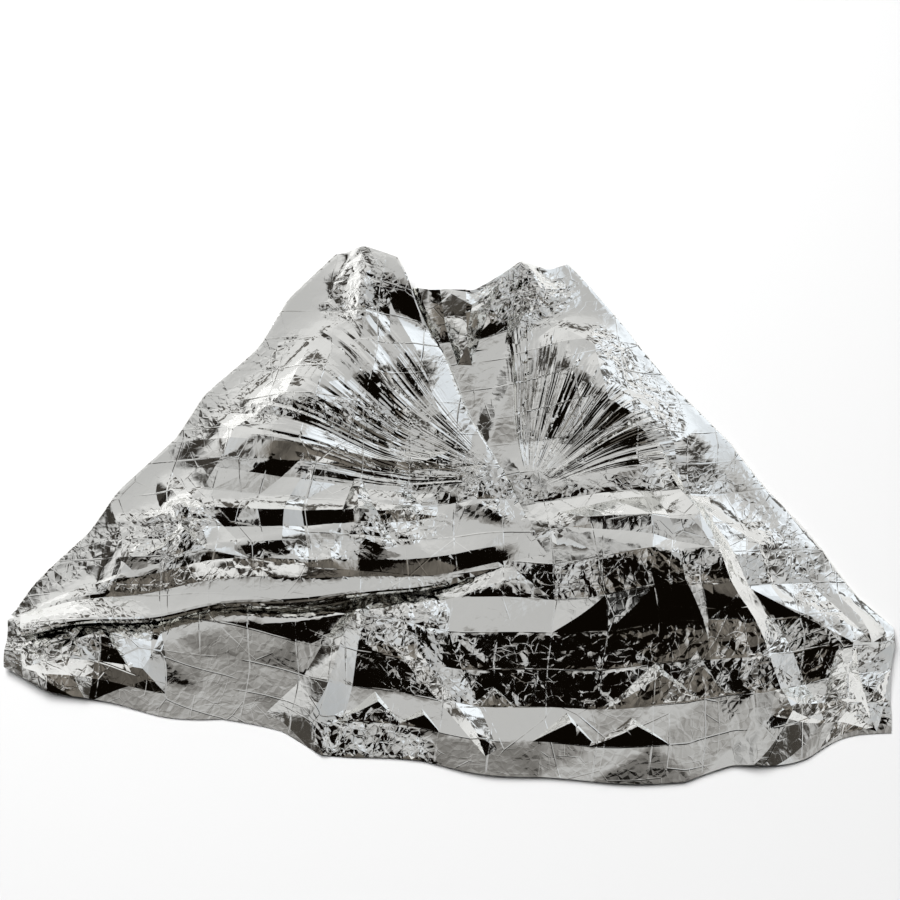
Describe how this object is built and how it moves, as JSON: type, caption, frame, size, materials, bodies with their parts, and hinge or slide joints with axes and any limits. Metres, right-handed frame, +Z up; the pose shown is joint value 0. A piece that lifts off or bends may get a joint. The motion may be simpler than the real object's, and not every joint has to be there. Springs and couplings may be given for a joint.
{
  "type": "emergency foil blanket",
  "caption": "Creased silver film blanket laid out on a floor, bell-shaped from above, with one wing folded over and two fans of pleats",
  "frame": {"origin": "centre of the bounding box at floor level", "axes": "+X along the blanket's long near edge, +Y from the near edge towards the gathered far edge, +Z up"},
  "size_m": [1.9618, 1.2604, 0.1297],
  "materials": {
    "silver_foil": "mirror-like metallised film, creased"
  },
  "bodies": {
    "root": {"foil_blanket": "silver_foil"}
  },
  "joints": []
}
